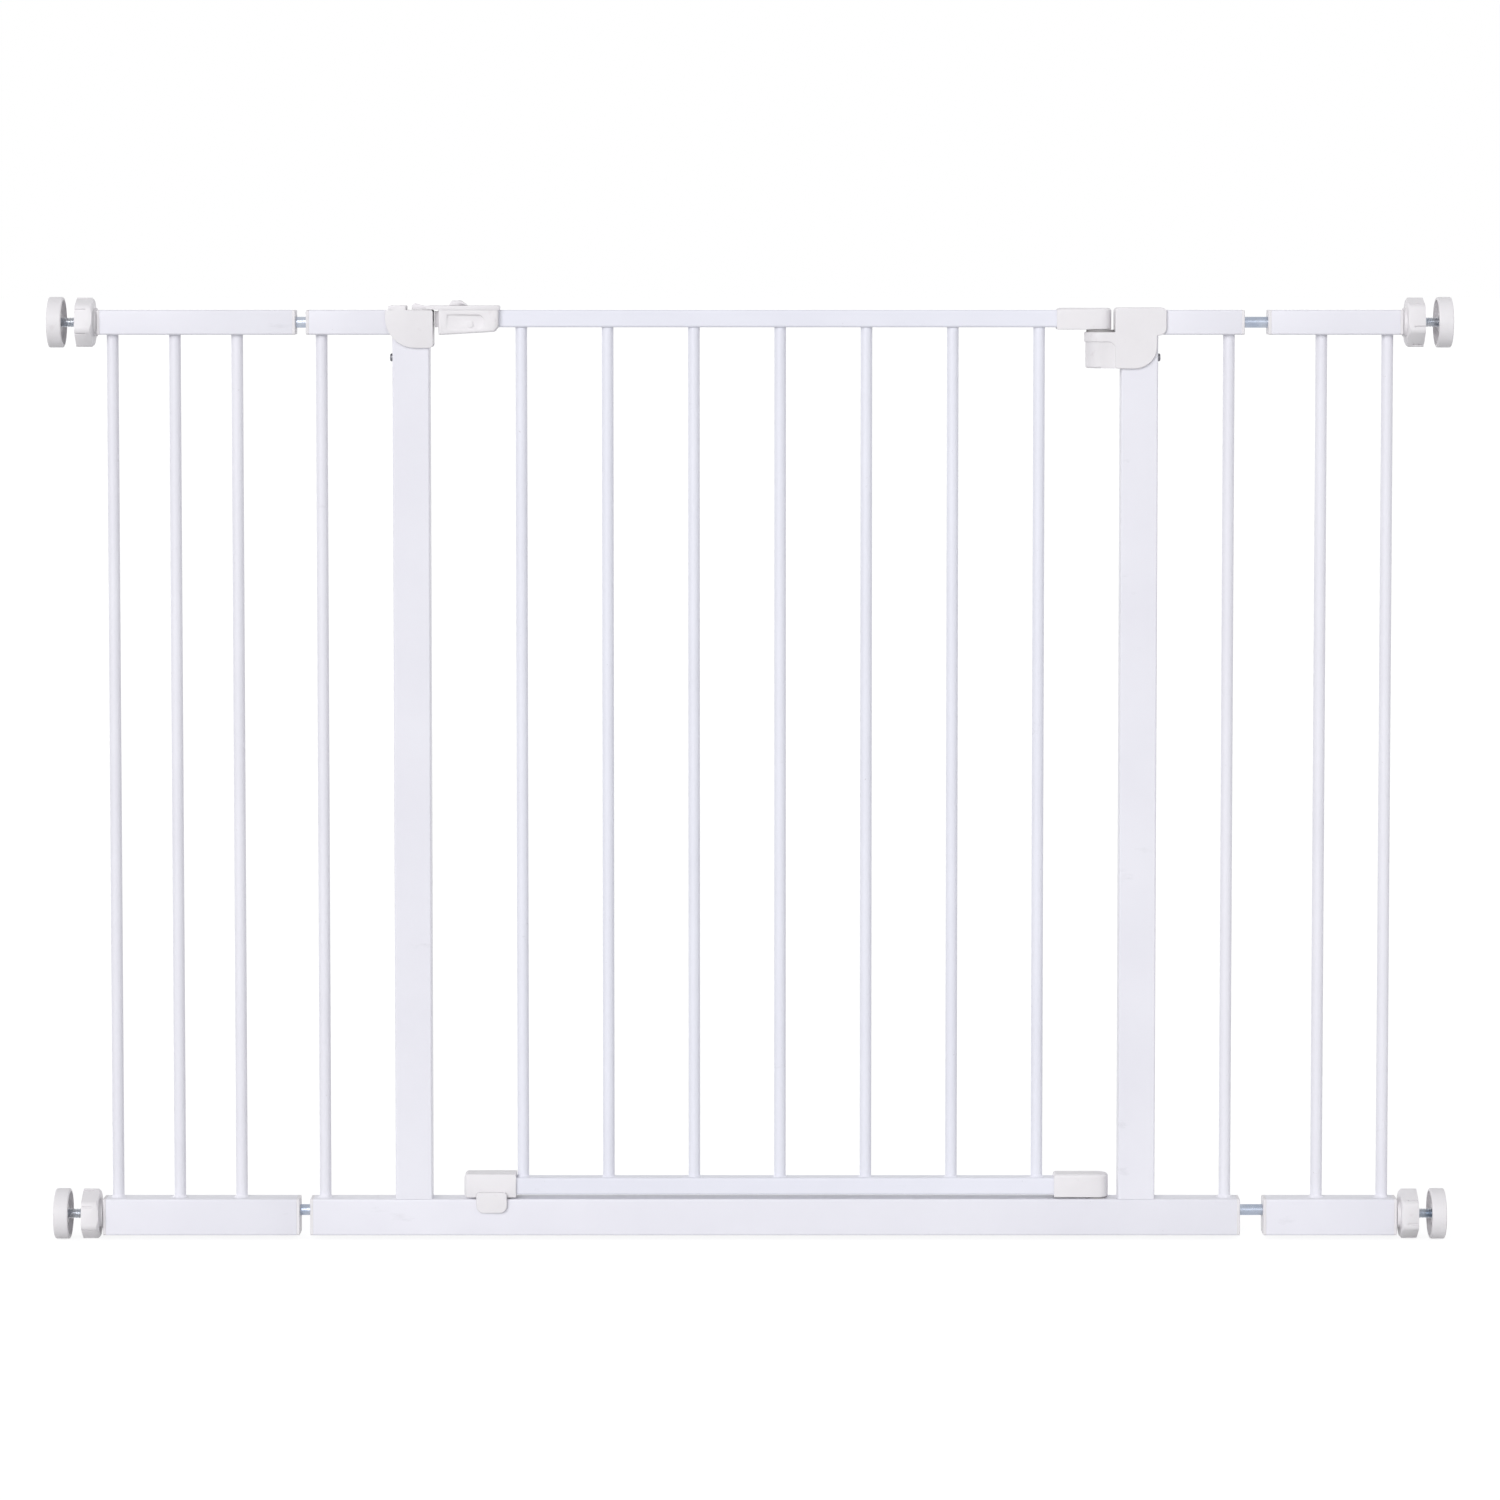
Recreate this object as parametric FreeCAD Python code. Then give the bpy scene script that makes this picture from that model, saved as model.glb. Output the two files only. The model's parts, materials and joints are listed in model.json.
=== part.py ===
import FreeCAD, Part
import math
import os

# Pressure-fit walk-through safety gate with an extension panel on each side.
# +X runs along the wall opening, +Y points away from the viewer, +Z is up.
# The origin is the middle of the floor line, level with the lowest point of the wall feet.
# All sizes are in millimetres.

# ---------------------------------------------------------------- driving dimensions
frame_width = 760.0
frame_height = 756.0
passage_width = 560.0
tube_depth = 20.0
top_rail_height = 20.0
bottom_rail_height = 30.0
post_width = 30.0
tube_wall = 1.2
tube_corner = 1.6

bar_diameter = 9.5
bar_wall = 0.8
frame_bar_inset = 12.0

left_panel_width = 161.0
left_panel_bars = 3
left_panel_pitch = 50.5
right_panel_width = 109.5
right_panel_bars = 2
right_panel_pitch = 53.5
panel_bar_inset = 12.0
left_joint_gap = 8.5
right_joint_gap = 19.0

door_rail = 14.0
door_rail_wall = 1.2
door_rail_corner = 1.8
door_bars = 7
door_bar_pitch = 70.0
door_bar_inset = 66.0
door_floor_gap = 3.0

hinge_inset = 16.5
hinge_pin_diameter = 8.0
door_lift = 15.0

plug_flange = 2.5
plug_insert = 12.0
plug_slack = 0.15

joining_rod_diameter = 9.0
joining_rod_grip = 32.0
joining_rod_drop = 10.5
screw_rod_diameter = 8.0
screw_rod_grip = 45.0
screw_rod_drop = 13.5
running_clearance = 0.08

nut_radius = 21.0
nut_width = 14.0
nut_round = 5.0
upper_nut_turn = 19.0
lower_nut_turn = 26.0
nut_collar_radius = 11.5
nut_collar_width = 2.5
nut_seat_gap = 0.3
foot_radius = 20.5
foot_width = 12.0
foot_wall = 2.4
foot_floor = 3.2
foot_boss_radius = 7.5
foot_reach = 40.0
pad_radius = 15.5
pad_width = 1.6
pad_recess = 1.0

keeper_overhang = 2.8
keeper_plate = 2.7
keeper_drop = 30.5
keeper_round = 24.0
keeper_outer_overhang = 5.5
housing_fit = 0.15
housing_top = 2.8
tail_length = 50.0
screw_drop = 38.5
fixing_screw_diameter = 3.8
fixing_screw_head = 6.5

channel_width = 9.0
channel_depth = 9.0
channel_length = 20.0
channel_floor = 1.0
raised_block_start = 19.0
raised_block_end = 33.0
raised_block_height = 3.6

hinge_block_depth = 26.0
hinge_block_inner = 5.0
hinge_block_outer = 6.5
hinge_block_height = 22.5
hinge_block_rise = 2.0
hinge_flap_drop = 47.4
hinge_flap_round = 18.0
socket_radius = 12.0
socket_band_height = 8.0
socket_band_round = 6.0
socket_height = 29.2
spring_chamber_radius = 9.0
socket_cap_width = 2.6

hinge_cap_length = 44.5
hinge_cap_height = 17.5
hinge_cap_depth = 18.0
hinge_seat_gap = 0.3
lower_cap_height = 19.0
washer_thickness = 1.8
washer_radius = 11.3
bush_flange = 1.0
bush_radius = 5.5
bush_flange_radius = 8.0
bush_length = 15.0

latch_cap_length = 42.5
latch_cap_bar_gap = 0.75
stop_clip_width = 25.0
stop_clip_hang = 11.0
stop_clip_lap = 4.6
stop_clip_thickness = 3.0
stop_clip_gap = 0.4

handle_gap = 4.6
handle_length = 48.6
handle_depth = 26.0
handle_wall = 2.0
handle_drop_left = 20.2
handle_drop_right = 17.6
handle_cover = 3.6
nose_length = 3.2
pivot_inset = 9.6
pivot_drop = 7.0
pivot_diameter = 3.0
pivot_cover = 2.4
pivot_end_gap = 0.2
hook_width = 7.0
hook_reach = 22.0
hook_tip_length = 9.0
hook_swing = 10.0
button_length = 15.0
button_height = 4.0
button_travel = 4.0
recess_drop = 3.6
recess_height = 12.0
recess_slope = 4.0
recess_tilt = 5.0
cover_nose_length = 10.2
cover_nose_gap = 0.4

# ---------------------------------------------------------------- derived places
half_depth = tube_depth / 2
socket_band_radius = hinge_block_depth / 2
z_bottom = foot_radius + screw_rod_drop - bottom_rail_height
z_sill = z_bottom + bottom_rail_height
z_top = z_bottom + frame_height
z_lintel = z_top - top_rail_height
z_low_screw = z_sill - screw_rod_drop
z_low_joint = z_sill - joining_rod_drop
z_high_rod = z_top - top_rail_height / 2

overall_width = (
    2 * foot_reach + left_panel_width + left_joint_gap + frame_width + right_joint_gap + right_panel_width
)
x_left_wall = -overall_width / 2
x_left_panel = x_left_wall + foot_reach
x_left_panel_end = x_left_panel + left_panel_width
x_frame = x_left_panel_end + left_joint_gap
x_frame_end = x_frame + frame_width
x_right_panel = x_frame_end + right_joint_gap
x_right_panel_end = x_right_panel + right_panel_width
x_right_wall = x_right_panel_end + foot_reach
side_width = (frame_width - passage_width) / 2
x_passage = x_frame + side_width
x_passage_end = x_passage + passage_width
x_hinge = x_passage_end - hinge_inset

z_door = z_sill + door_floor_gap
z_door_top = z_top
z_low_cap = z_sill + bush_flange + hinge_seat_gap
rail_mid_low = z_door + door_rail / 2
rail_mid_high = z_door_top - door_rail / 2
z_high_cap = rail_mid_high - hinge_cap_height / 2
z_socket = z_high_cap - hinge_seat_gap - washer_thickness
hinge_cap_radius = hinge_cap_depth / 2
x_door_rail_end = x_hinge - hinge_cap_radius - 2.5
x_handle = x_passage + keeper_overhang + handle_gap
x_handle_end = x_handle + handle_length
x_pivot = x_handle + pivot_inset
z_pivot = z_door_top - pivot_drop
bar_radius = bar_diameter / 2

V = FreeCAD.Vector
X, Y, Z = V(1, 0, 0), V(0, 1, 0), V(0, 0, 1)


# ---------------------------------------------------------------- shape helpers
def box(x0, x1, y0, y1, z0, z1):
    return Part.makeBox(x1 - x0, y1 - y0, z1 - z0, V(x0, y0, z0))


def rod(radius, start, direction, length):
    return Part.makeCylinder(radius, length, start, direction)


def rounded(x0, x1, y0, y1, z0, z1, radius, along):
    """A box whose edges parallel to one axis are rounded."""
    solid = box(x0, x1, y0, y1, z0, z1)
    edges = [e for e in solid.Edges if abs(e.tangentAt(0).dot(along)) > 0.99]
    return solid.makeFillet(radius, edges)


def tube(x0, x1, y0, y1, z0, z1, wall, corner, along):
    """A rectangular tube, open at both ends, running along one axis."""
    outer = rounded(x0, x1, y0, y1, z0, z1, corner, along)
    trim = V(wall, wall, wall) - along * (wall + 1)
    inner_corner = max(corner - wall, 0.3)
    inner = rounded(
        x0 + trim.x, x1 - trim.x, y0 + trim.y, y1 - trim.y, z0 + trim.z, z1 - trim.z, inner_corner, along
    )
    return outer.cut(inner)


def soften(solid, radius, wanted):
    """Rounds the edges that the test picks."""
    edges = [e for e in solid.Edges if wanted(e)]
    return solid.makeFillet(radius, edges) if edges else solid


def outline(points):
    """A closed face from (x, z) corners in the plane Y = 0; a corner may carry a rounding radius."""
    corners = [(V(p[0], 0, p[1]), p[2] if len(p) > 2 else 0.0) for p in points]
    edges = []
    ends = []
    for i, (corner, radius) in enumerate(corners):
        before = corners[i - 1][0] - corner
        after = corners[(i + 1) % len(corners)][0] - corner
        if radius == 0:
            ends.append((corner, corner, None))
            continue
        half = before.getAngle(after) / 2
        reach = radius / math.tan(half)
        toward = V(before).normalize() + V(after).normalize()
        centre = corner + toward.normalize() * (radius / math.sin(half))
        middle = centre - V(toward).normalize() * radius
        ends.append(
            (corner + V(before).normalize() * reach, corner + V(after).normalize() * reach, middle)
        )
    for i, (start, stop, middle) in enumerate(ends):
        if middle is not None:
            edges.append(Part.Arc(start, middle, stop).toShape())
        following = ends[(i + 1) % len(ends)][0]
        if stop.distanceToPoint(following) > 1e-6:
            edges.append(Part.LineSegment(stop, following).toShape())
    return Part.Face(Part.Wire(edges))


def plate(points, y0, y1):
    """The (x, z) outline as a solid between two depths."""
    face = outline(points)
    face.translate(V(0, y0, 0))
    return face.extrude(V(0, y1 - y0, 0))


def coil(mean_radius, wire_radius, pitch, height, centre, turn=None):
    """A round-wire spring standing on its centre point, along Z unless turned."""
    helix = Part.makeHelix(pitch, height, mean_radius)
    section = Part.Wire([Part.makeCircle(wire_radius, V(mean_radius, 0, 0), Y)])
    spring = Part.Wire(helix.Edges).makePipeShell([section], True, True)
    if turn is not None:
        spring.rotate(V(0, 0, 0), turn[0], turn[1])
    spring.translate(centre)
    return spring


def save(name, solids):
    """Writes one node; several separate solids may share it."""
    parts = solids if isinstance(solids, list) else [solids]
    whole = []
    for part in parts:
        whole += part.Solids
    for solid in whole:
        if not solid.isValid() or solid.Volume <= 0:
            raise ValueError(name + " is not a sound solid")
    Part.makeCompound(whole).exportStep("parts/" + name + ".step")
    print(name, len(whole), round(sum(s.Volume for s in whole)))


# ---------------------------------------------------------------- tubes and bars
def rail(x0, x1, z0, z1):
    """A horizontal frame tube between two plug flanges or joints."""
    return tube(x0, x1, -half_depth, half_depth, z0, z1, tube_wall, tube_corner, X)


def upright(x, z0, z1):
    """A hollow vertical bar."""
    bar = rod(bar_radius, V(x, 0, z0), Z, z1 - z0)
    return bar.cut(rod(bar_radius - bar_wall, V(x, 0, z0 - 1), Z, z1 - z0 + 2))


def post(x0, z_end):
    return tube(x0, x0 + post_width, -half_depth, half_depth, z_sill, z_end, tube_wall, tube_corner, Z)


def end_plug(x_end, inward, z0, z1, bore_radius, z_bore):
    """A moulded plug that closes a frame tube; inward is +1 or -1 along X."""
    x_flange = x_end + inward * plug_flange
    low, high = sorted((x_end, x_flange))
    flange = rounded(low, high, -half_depth, half_depth, z0, z1, tube_corner, X)
    outer_rim = [e for e in flange.Edges if all(abs(v.X - x_end) < 1e-6 for v in e.Vertexes)]
    flange = flange.makeFillet(0.8, outer_rim)
    low, high = sorted((x_flange, x_flange + inward * plug_insert))
    trim = tube_wall + plug_slack
    insert = box(low, high, -half_depth + trim, half_depth - trim, z0 + trim, z1 - trim)
    plug = flange.fuse(insert).removeSplitter()
    length = plug_flange + plug_insert + 2
    return plug.cut(rod(bore_radius, V(x_end - inward, 0, z_bore), X * inward, length))


def plug_pair(x_end, inward, rod_diameter, z_low_bore):
    bore = rod_diameter / 2 + running_clearance
    return [
        end_plug(x_end, inward, z_bottom, z_sill, bore, z_low_bore),
        end_plug(x_end, inward, z_lintel, z_top, bore, z_high_rod),
    ]


def panel(name, x0, x1, bar_places, outer_end):
    """An extension panel: two rails, its bars and four end plugs. outer_end is -1 on the left."""
    save(name + "_panel_bottom_rail", rail(x0 + plug_flange, x1 - plug_flange, z_bottom, z_sill))
    save(name + "_panel_top_rail", rail(x0 + plug_flange, x1 - plug_flange, z_lintel, z_top))
    save(name + "_panel_bars", [upright(x, z_sill, z_lintel) for x in bar_places])
    outer, inner = (x0, x1) if outer_end < 0 else (x1, x0)
    plugs = plug_pair(outer, -outer_end, screw_rod_diameter, z_low_screw)
    plugs += plug_pair(inner, outer_end, joining_rod_diameter, z_low_joint)
    save(name + "_panel_plugs", plugs)


def joining_rods(x0, x1):
    """The two plain rods that carry a panel on the frame."""
    length = x1 - x0 + 2 * joining_rod_grip
    rods = []
    for z in (z_low_joint, z_high_rod):
        bar = rod(joining_rod_diameter / 2, V(x0 - joining_rod_grip, 0, z), X, length)
        rods.append(bar.makeChamfer(1.0, [e for e in bar.Edges if e.Closed]))
    return rods


# ---------------------------------------------------------------- wall adjusters
def screw_rod(x_end, outward, z):
    """Threaded rod, at its crest diameter, from inside the tube to the wall foot."""
    tip = foot_reach - pad_width + pad_recess - foot_floor - 0.4
    start = V(x_end - outward * screw_rod_grip, 0, z)
    bar = rod(screw_rod_diameter / 2, start, X * outward, screw_rod_grip + tip)
    return bar.makeChamfer(0.8, [e for e in bar.Edges if e.Closed])


def hand_nut(x_end, outward, z, turn):
    """Six-sided hand nut with a thrust collar towards the tube and a grip notch beside each corner."""
    corners = [
        V(0, nut_radius * math.cos(math.radians(a)), nut_radius * math.sin(math.radians(a)))
        for a in range(0, 361, 60)
    ]
    face = Part.Face(Part.makePolygon(corners))
    body = face.extrude(X * nut_width)
    body = soften(body, nut_round, lambda e: abs(e.tangentAt(0).x) > 0.99)
    chamfer = Part.makeCone(nut_radius + 2.2, nut_radius - 2.2, 4.4, V(nut_width - 2.6, 0, 0), X)
    body = body.common(chamfer.fuse(rod(nut_radius + 2.2, V(0, 0, 0), X, nut_width - 2.6)))
    chamfer = Part.makeCone(nut_radius - 2.6, nut_radius + 1.8, 4.4, V(0, 0, 0), X)
    body = body.common(chamfer.fuse(rod(nut_radius + 1.8, V(4.4, 0, 0), X, nut_width - 4.4)))
    apothem = nut_radius * math.cos(math.radians(30))
    for i in range(6):
        notch = box(nut_width * 0.36, nut_width + 1, -7.8, -6.0, apothem - 1.5, apothem + 2)
        notch.rotate(V(0, 0, 0), X, 60 * i)
        body = body.cut(notch)
    collar = rod(nut_collar_radius, V(-nut_collar_width, 0, 0), X, nut_collar_width + 0.5)
    bore = rod(screw_rod_diameter / 2 + running_clearance, V(-5, 0, 0), X, nut_width + 10)
    nut = body.fuse(collar).removeSplitter().cut(bore)
    if outward < 0:
        nut.rotate(V(0, 0, 0), Z, 180)
    nut.rotate(V(0, 0, 0), X, turn)
    nut.translate(V(x_end + outward * (nut_seat_gap + nut_collar_width), 0, z))
    return nut


def wall_foot(x_wall, outward, z):
    """Round foot, hollow towards the gate, with a boss for the rod and a shallow seat for its pad."""
    shell = rod(foot_radius, V(0, 0, 0), X, foot_width)
    shell = shell.makeFillet(1.3, [e for e in shell.Edges if e.Closed])
    hollow = rod(foot_radius - foot_wall, V(foot_floor, 0, 0), X, foot_width)
    boss = rod(foot_boss_radius, V(foot_floor - 0.5, 0, 0), X, foot_width - foot_floor - 1.5)
    for angle in range(0, 360, 60):
        rib = box(foot_floor - 0.5, foot_width - 4.5, -0.6, 0.6, foot_boss_radius - 1, foot_radius - 1)
        rib.rotate(V(0, 0, 0), X, angle)
        boss = boss.fuse(rib)
    foot = shell.cut(hollow).fuse(boss).removeSplitter()
    foot = foot.cut(rod(pad_radius + plug_slack, V(-1, 0, 0), X, 1 + pad_recess))
    bore = rod(screw_rod_diameter / 2 + running_clearance, V(foot_floor, 0, 0), X, foot_width)
    foot = foot.cut(bore)
    if outward > 0:
        foot.rotate(V(0, 0, 0), Z, 180)
    foot.translate(V(x_wall - outward * (pad_width - pad_recess), 0, z))
    return foot


def wall_pad(x_wall, outward, z):
    pad = rod(pad_radius, V(x_wall, 0, z), X * -outward, pad_width)
    rim = [e for e in pad.Edges if e.Closed and abs(e.Vertexes[0].X - x_wall) < 1e-6]
    return pad.makeFillet(0.4, rim)


def adjuster(name, x_end, x_wall, outward, z, turn):
    save(name + "_screw_rod", screw_rod(x_end, outward, z))
    save(name + "_hand_nut", hand_nut(x_end, outward, z, turn))
    save(name + "_wall_foot", wall_foot(x_wall, outward, z))
    save(name + "_wall_pad", wall_pad(x_wall, outward, z))


# ---------------------------------------------------------------- housings on the posts
z_post_top = z_top - housing_top - housing_fit


def tail(x_post):
    """The part of a housing that plugs into the top of its post."""
    trim = tube_wall + plug_slack
    return box(
        x_post + trim, x_post + post_width - trim, -half_depth + trim, half_depth - trim,
        z_post_top - tail_length, z_top - 0.5,
    )


def fixing_screw(x_face, inward):
    """Pan-head screw through the outer wall of a post into the housing's tail."""
    z = z_top - screw_drop
    shank = rod(fixing_screw_diameter / 2, V(x_face, 0, z), X * inward, 14.0)
    head = rod(fixing_screw_head / 2, V(x_face - inward * 2.4, 0, z), X * inward, 2.4)
    rim = [e for e in head.Edges if e.Closed and abs(e.Vertexes[0].X - x_face) > 1]
    head = head.makeFillet(1.1, rim)
    slot = box(-0.5, 0.5, -2.2, 2.2, -0.5, 0.5)
    slot = slot.fuse(box(-0.5, 0.5, -0.5, 0.5, -2.2, 2.2))
    slot.translate(V(x_face - inward * 2.4, 0, z))
    return head.fuse(shank).removeSplitter().cut(slot)


def screw_hole(x_face, inward, radius):
    return rod(radius, V(x_face - inward, 0, z_top - screw_drop), X * inward, post_width / 2 + 2)


def latch_channel():
    """Space that the latch hook drops into."""
    y = channel_width / 2
    x0 = x_passage - channel_length
    x1 = x_passage + keeper_overhang + 2
    return box(x0, x1, -y, y, z_top - channel_depth, z_top + 8)


def latch_keeper():
    """Corner cap on the latch post: two quarter-round cheeks, a tail in the post and the hook's channel."""
    x_in = x_passage + keeper_overhang
    x_out = x_passage - post_width - keeper_outer_overhang
    z_hem = z_top - keeper_drop
    cheek = [(x_out, z_top, 1.0), (x_in, z_top, 1.5), (x_in, z_hem, 3.0), (x_out, z_hem, keeper_round)]
    inner_y = half_depth + housing_fit
    outer_y = inner_y + keeper_plate
    body = plate(cheek, -outer_y, -inner_y).fuse(plate(cheek, inner_y, outer_y))
    body = body.fuse(box(x_passage + housing_fit, x_in, -outer_y, outer_y, z_hem + 3, z_top - 1.5))
    x_post = x_passage - post_width
    body = body.fuse(box(x_post + housing_fit, x_in - 1.5, -outer_y, outer_y, z_top - housing_top, z_top))
    x0, x1 = x_passage - raised_block_end, x_passage - raised_block_start
    block = [
        (x0, z_top + housing_fit), (x1, z_top + housing_fit),
        (x1, z_top + raised_block_height, 1.0), (x0, z_top + raised_block_height, 1.0),
    ]
    body = body.fuse(plate(block, -outer_y, outer_y))
    body = body.fuse(box(x_post + 1, x1, -outer_y, outer_y, z_top - 1, z_top + 1))
    body = body.fuse(tail(x_post)).removeSplitter()
    body = body.cut(latch_channel())
    return body.cut(screw_hole(x_post, 1, fixing_screw_diameter / 2 + 0.05))


def hinge_block():
    """Corner cap on the hinge post, with the bored socket that carries the door's upper pin."""
    deep = hinge_block_depth / 2
    x_in = x_passage_end - hinge_block_inner
    x_out = x_passage_end + post_width + hinge_block_outer
    z_cap = z_top + hinge_block_rise
    z_step = z_cap - hinge_block_height
    head = plate(
        [(x_in, z_cap, 3.0), (x_out, z_cap, 3.5), (x_out, z_step, 6.0), (x_in, z_step)], -deep, deep
    )
    z_low = z_top - hinge_flap_drop
    x_flap = x_passage_end + post_width - 1.0
    flap = plate(
        [(x_in, z_step + 1), (x_flap, z_step + 1), (x_flap, z_low, hinge_flap_round), (x_in, z_low, 2.0)],
        -deep,
        deep,
    )
    z_foot = z_socket - socket_height
    centre = V(x_hinge, 0, z_foot)
    socket = rod(socket_radius, centre, Z, socket_height)
    socket = socket.makeFillet(2.0, [e for e in socket.Edges if e.Closed and e.Vertexes[0].Z < z_foot + 1])
    band_foot = V(x_hinge, 0, z_socket - socket_band_height)
    socket = socket.fuse(rod(socket_band_radius, band_foot, Z, socket_band_height))
    bridge = box(x_hinge, x_in + 1, -socket_radius, socket_radius, z_foot, z_socket)
    socket = socket.fuse(bridge)
    z_band = z_socket - socket_band_height
    band = box(x_hinge, x_in + 1, -socket_band_radius, socket_band_radius, z_band, z_socket)
    x_corner = x_in - socket_band_round
    z_corner = z_band - socket_band_round
    corner = box(x_corner, x_in + 1, -deep, deep, z_corner, z_band + 1)
    corner = corner.cut(rod(socket_band_round, V(x_corner, -deep - 1, z_corner), Y, 2 * deep + 2))
    corner = corner.cut(box(x_corner - 1, x_in, -deep - 1, deep + 1, z_corner - 8, z_corner))
    body = head.fuse(flap).fuse(socket).fuse(band).fuse(corner).removeSplitter()
    on_face = deep - 1e-4
    body = soften(
        body, 0.9, lambda e: e.BoundBox.YLength < 1e-6 and abs(e.BoundBox.YMin) > on_face
        and e.BoundBox.ZMin > z_band + 0.1 or e.BoundBox.YLength < 1e-6
        and abs(e.BoundBox.YMin) > on_face and e.BoundBox.XMin > x_in + 1
    )
    room_y = half_depth + housing_fit
    room = box(x_passage_end - housing_fit, x_out + 1, -room_y, room_y, z_low - 1, z_top - housing_top)
    body = body.cut(room)
    stub = box(x_passage_end + post_width, x_out + 1, -room_y, room_y, z_low - 1, z_top + housing_fit)
    body = body.cut(stub)
    body = body.fuse(tail(x_passage_end)).removeSplitter()
    pin_bore = rod(hinge_pin_diameter / 2 + running_clearance, centre - Z, Z, socket_height + 2)
    chamber = rod(spring_chamber_radius, centre - Z, Z, socket_height - socket_band_height + 1)
    body = body.cut(pin_bore).cut(chamber)
    x_face = x_passage_end + post_width
    return body.cut(screw_hole(x_face, -1, fixing_screw_diameter / 2 + 0.05))


def socket_cap():
    """Disc that closes the spring chamber from below."""
    centre = V(x_hinge, 0, z_socket - socket_height)
    return rod(spring_chamber_radius - 0.1, centre, Z, socket_cap_width)


def hinge_spring():
    """Self-closing spring round the upper hinge pin."""
    mean = (spring_chamber_radius + hinge_pin_diameter / 2) / 2
    low = z_socket - socket_height + socket_cap_width + 1.0
    height = socket_height - socket_band_height - socket_cap_width - 2.4
    return coil(mean, 0.8, 2.4, height, V(x_hinge, 0, low))


# ---------------------------------------------------------------- hinge hardware
def ring(radius, bore, z, height):
    disc = rod(radius, V(x_hinge, 0, z), Z, height)
    return disc.cut(rod(bore, V(x_hinge, 0, z - 1), Z, height + 2))


def hinge_bush():
    """Flanged bush in the top wall of the bottom rail."""
    bore = hinge_pin_diameter / 2 + running_clearance
    flange = ring(bush_flange_radius, bore, z_sill, bush_flange)
    sleeve = ring(bush_radius, bore, z_sill - bush_length, bush_length + 0.5)
    return flange.fuse(sleeve).removeSplitter()


def hinge_pin(z0, z1):
    pin = rod(hinge_pin_diameter / 2, V(x_hinge, 0, z0), Z, z1 - z0)
    return pin.makeChamfer(0.8, [e for e in pin.Edges if e.Closed])


def pin_bore_in_door(z0, z1):
    return rod(hinge_pin_diameter / 2 + running_clearance, V(x_hinge, 0, z0), Z, z1 - z0)


# ---------------------------------------------------------------- door
def door_tube(x0, x1, z0):
    half = door_rail / 2
    return tube(x0, x1, -half, half, z0, z0 + door_rail, door_rail_wall, door_rail_corner, X)


def rail_pocket(x0, x1, z0):
    """The hole that a moulded cap has for the end of a door rail."""
    half = door_rail / 2 + 0.1
    return rounded(x0, x1, -half, half, z0 - 0.1, z0 + door_rail + 0.1, door_rail_corner, X)


def hinge_cap(z0, height):
    """Moulded cap on a hinge end of the door, round about the hinge axis."""
    half = hinge_cap_radius
    x0 = x_hinge + half - hinge_cap_length
    body = box(x0, x_hinge, -half, half, z0, z0 + height)
    body = body.fuse(rod(half, V(x_hinge, 0, z0), Z, height)).removeSplitter()
    z_rim = z0 + height
    body = soften(body, 2.6, lambda e: all(abs(v.Z - z_rim) < 1e-6 for v in e.Vertexes))
    return soften(body, 0.7, lambda e: all(abs(v.Z - z0) < 1e-6 for v in e.Vertexes))


def upper_hinge_cap():
    cap = hinge_cap(z_high_cap, hinge_cap_height)
    x0 = x_hinge - hinge_cap_length
    cap = cap.cut(rail_pocket(x0, x_door_rail_end, z_door_top - door_rail))
    return cap.cut(pin_bore_in_door(z_high_cap - 1, z_high_cap + hinge_cap_height - 2.5))


def lower_hinge_cap():
    cap = hinge_cap(z_low_cap, lower_cap_height)
    x0 = x_hinge - hinge_cap_length
    cap = cap.cut(rail_pocket(x0, x_door_rail_end, z_door))
    return cap.cut(pin_bore_in_door(z_low_cap - 1, z_low_cap + lower_cap_height - 3))


x_first_bar = x_passage_end - door_bar_inset - (door_bars - 1) * door_bar_pitch
x_latch_cap_end = x_first_bar - bar_radius - latch_cap_bar_gap
x_latch_cap = x_latch_cap_end - latch_cap_length
x_stop = x_latch_cap + 10.0


def latch_cap():
    """Moulded shoe on the lower latch corner of the door, slotted for its stop clip."""
    half = hinge_cap_radius + 0.5
    z1 = z_low_cap + lower_cap_height
    body = box(x_latch_cap, x_latch_cap_end, -half, half, z_low_cap, z1)
    body = soften(body, 3.0, lambda e: all(abs(v.X - x_latch_cap) < 1e-6 for v in e.Vertexes))
    body = soften(body, 0.8, lambda e: all(abs(v.X - x_latch_cap_end) < 1e-6 for v in e.Vertexes))
    body = body.cut(rail_pocket(x_latch_cap + 3.0, x_latch_cap_end + 1, z_door))
    x_slot_end = x_stop + stop_clip_width - 4
    return body.cut(box(x_stop + 4, x_slot_end, -half - 1, -half + 2.2, z_low_cap + 0.9, z_low_cap + 2.6))


def stop_clip():
    """One-way stop: hangs in front of the bottom rail, so the door opens only towards the viewer."""
    back = -half_depth - stop_clip_gap
    front = back - stop_clip_thickness
    z0, z1 = z_sill - stop_clip_hang, z_low_cap + stop_clip_lap
    x0, x1 = x_stop, x_stop + stop_clip_width
    body = plate([(x0, z0, 6.0), (x1, z0, 6.0), (x1, z1, 3.0), (x0, z1, 3.0)], front, back)
    body = soften(body, 0.9, lambda e: all(abs(v.Y - front) < 1e-6 for v in e.Vertexes))
    half = hinge_cap_radius + 0.5
    shoulder = box(x0 + 3, x1 - 3, back - 0.2, -half, z_low_cap + 0.3, z1 - 1)
    tongue = box(x0 + 4.2, x1 - 4.2, back, -half + 2.0, z_low_cap + 1.05, z_low_cap + 2.45)
    return body.fuse(shoulder).fuse(tongue).removeSplitter()


# ---------------------------------------------------------------- handle and latch
x_rail_start = x_handle + 30.0


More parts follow.
